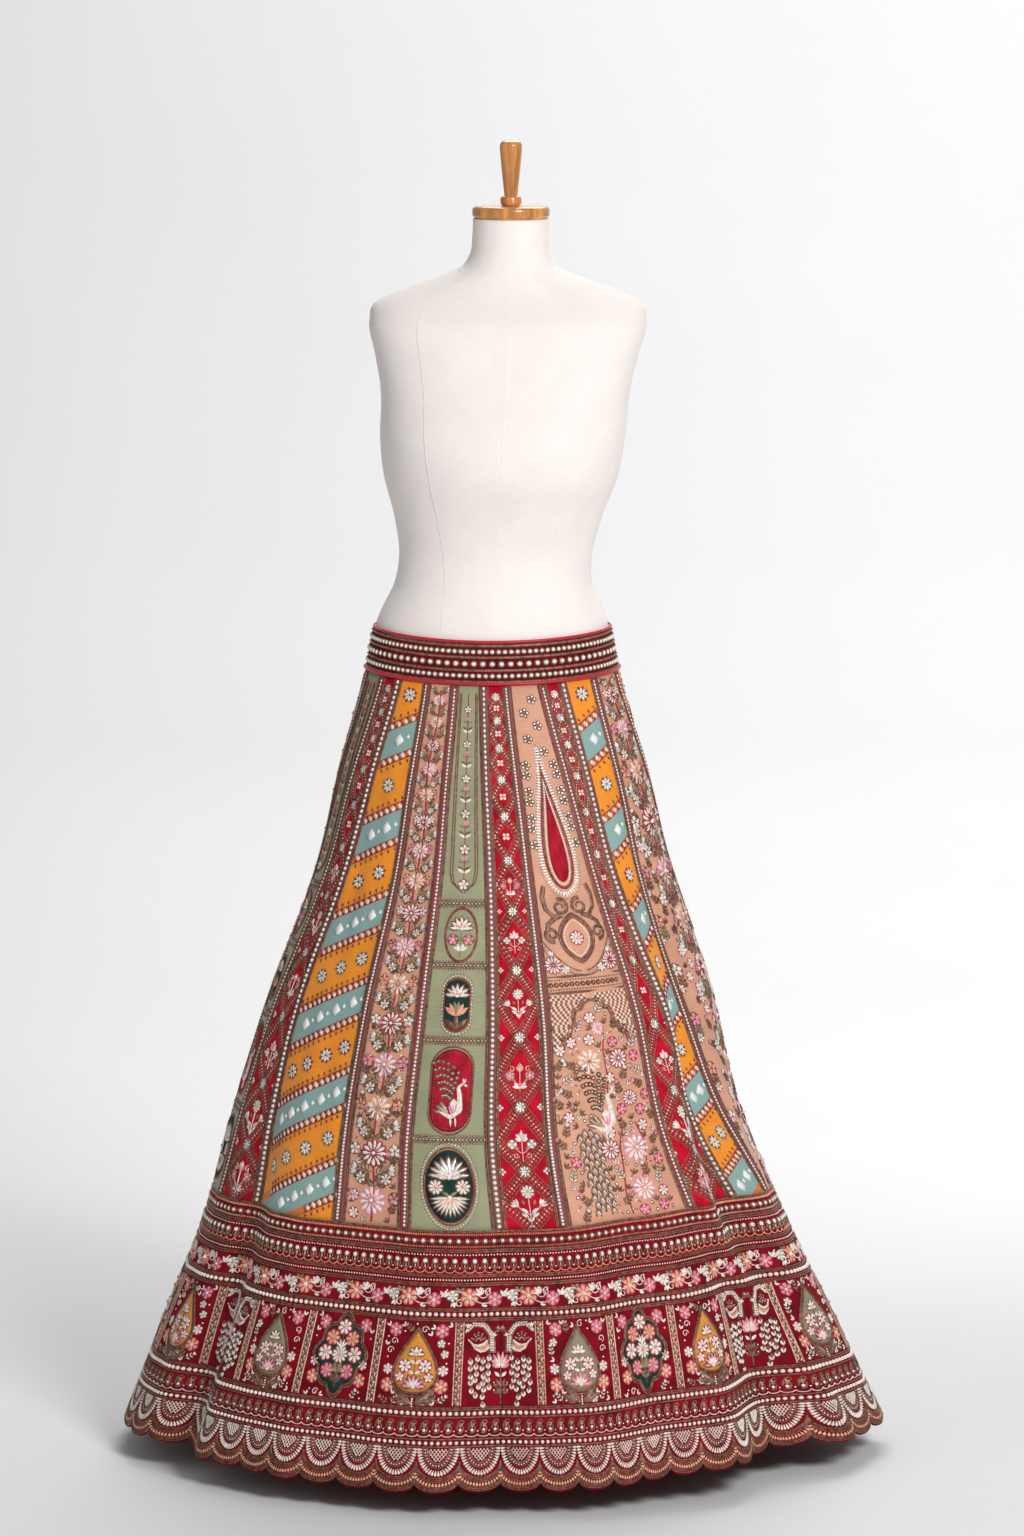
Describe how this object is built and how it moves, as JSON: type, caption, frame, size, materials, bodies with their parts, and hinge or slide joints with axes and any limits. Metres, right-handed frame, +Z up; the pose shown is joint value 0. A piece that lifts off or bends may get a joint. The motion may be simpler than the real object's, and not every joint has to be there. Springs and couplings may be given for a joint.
{
  "type": "lehenga skirt on a dress form",
  "caption": "Flared gored lehenga skirt with zardozi seam tapes, deep scalloped velvet border and waistband, worn on a limbless dress form on a plain round stand.",
  "frame": {"origin": "middle of the stand base's underside, on the floor", "axes": "+Z up along the stand's pole; -Y is the garment's front; +X is to the right of someone who looks at the front"},
  "size_m": [0.9327, 0.9311, 1.5976],
  "materials": {
    "sage_silk": "raw silk with thread, sequin and zari embroidery",
    "ruby_velvet": "velvet with sequin lattice and silk thread motifs",
    "mustard_silk": "raw silk in slanting mustard and teal bands",
    "peach_silk": "raw silk with floral thread and spangle embroidery",
    "border_velvet": "deep maroon velvet with zari cord, pearls and thread motifs",
    "piping_satin": "satin piping",
    "zardozi_tape": "antique zari tape with a row of pearls",
    "form_linen": "cream linen cover",
    "turned_wood": "varnished",
    "painted_pole": "satin paint"
  },
  "bodies": {
    "root": {"gore_01_oval": "sage_silk", "gore_02_diamond": "ruby_velvet", "gore_03_stripe": "mustard_silk", "gore_04_vine": "peach_silk", "gore_05_oval": "sage_silk", "gore_06_diamond": "ruby_velvet", "gore_07_garden": "peach_silk", "gore_08_diamond": "ruby_velvet", "gore_09_stripe": "mustard_silk", "gore_10_vine": "peach_silk", "gore_11_stripe": "mustard_silk", "gore_12_vine": "peach_silk", "gore_13_oval": "sage_silk", "gore_14_diamond": "ruby_velvet", "gore_15_garden": "peach_silk", "gore_16_diamond": "ruby_velvet", "gore_17_stripe": "mustard_silk", "gore_18_vine": "peach_silk", "seam_tape_01": "zardozi_tape", "seam_tape_02": "zardozi_tape", "seam_tape_03": "zardozi_tape", "seam_tape_04": "zardozi_tape", "seam_tape_05": "zardozi_tape", "seam_tape_06": "zardozi_tape", "seam_tape_07": "zardozi_tape", "seam_tape_08": "zardozi_tape", "seam_tape_09": "zardozi_tape", "seam_tape_10": "zardozi_tape", "seam_tape_11": "zardozi_tape", "seam_tape_12": "zardozi_tape", "seam_tape_13": "zardozi_tape", "seam_tape_14": "zardozi_tape", "seam_tape_15": "zardozi_tape", "seam_tape_16": "zardozi_tape", "seam_tape_17": "zardozi_tape", "seam_tape_18": "zardozi_tape", "border_section_1": "border_velvet", "border_section_2": "border_velvet", "border_section_3": "border_velvet", "border_section_4": "border_velvet", "border_section_5": "border_velvet", "border_section_6": "border_velvet", "waistband": "border_velvet", "waistband_top_piping": "piping_satin", "waistband_bottom_piping": "piping_satin", "form_torso": "form_linen", "form_hip_plate": "turned_wood", "neck_cap": "turned_wood", "neck_finial": "turned_wood", "stand_base": "turned_wood", "stand_pole": "painted_pole"}
  },
  "joints": []
}
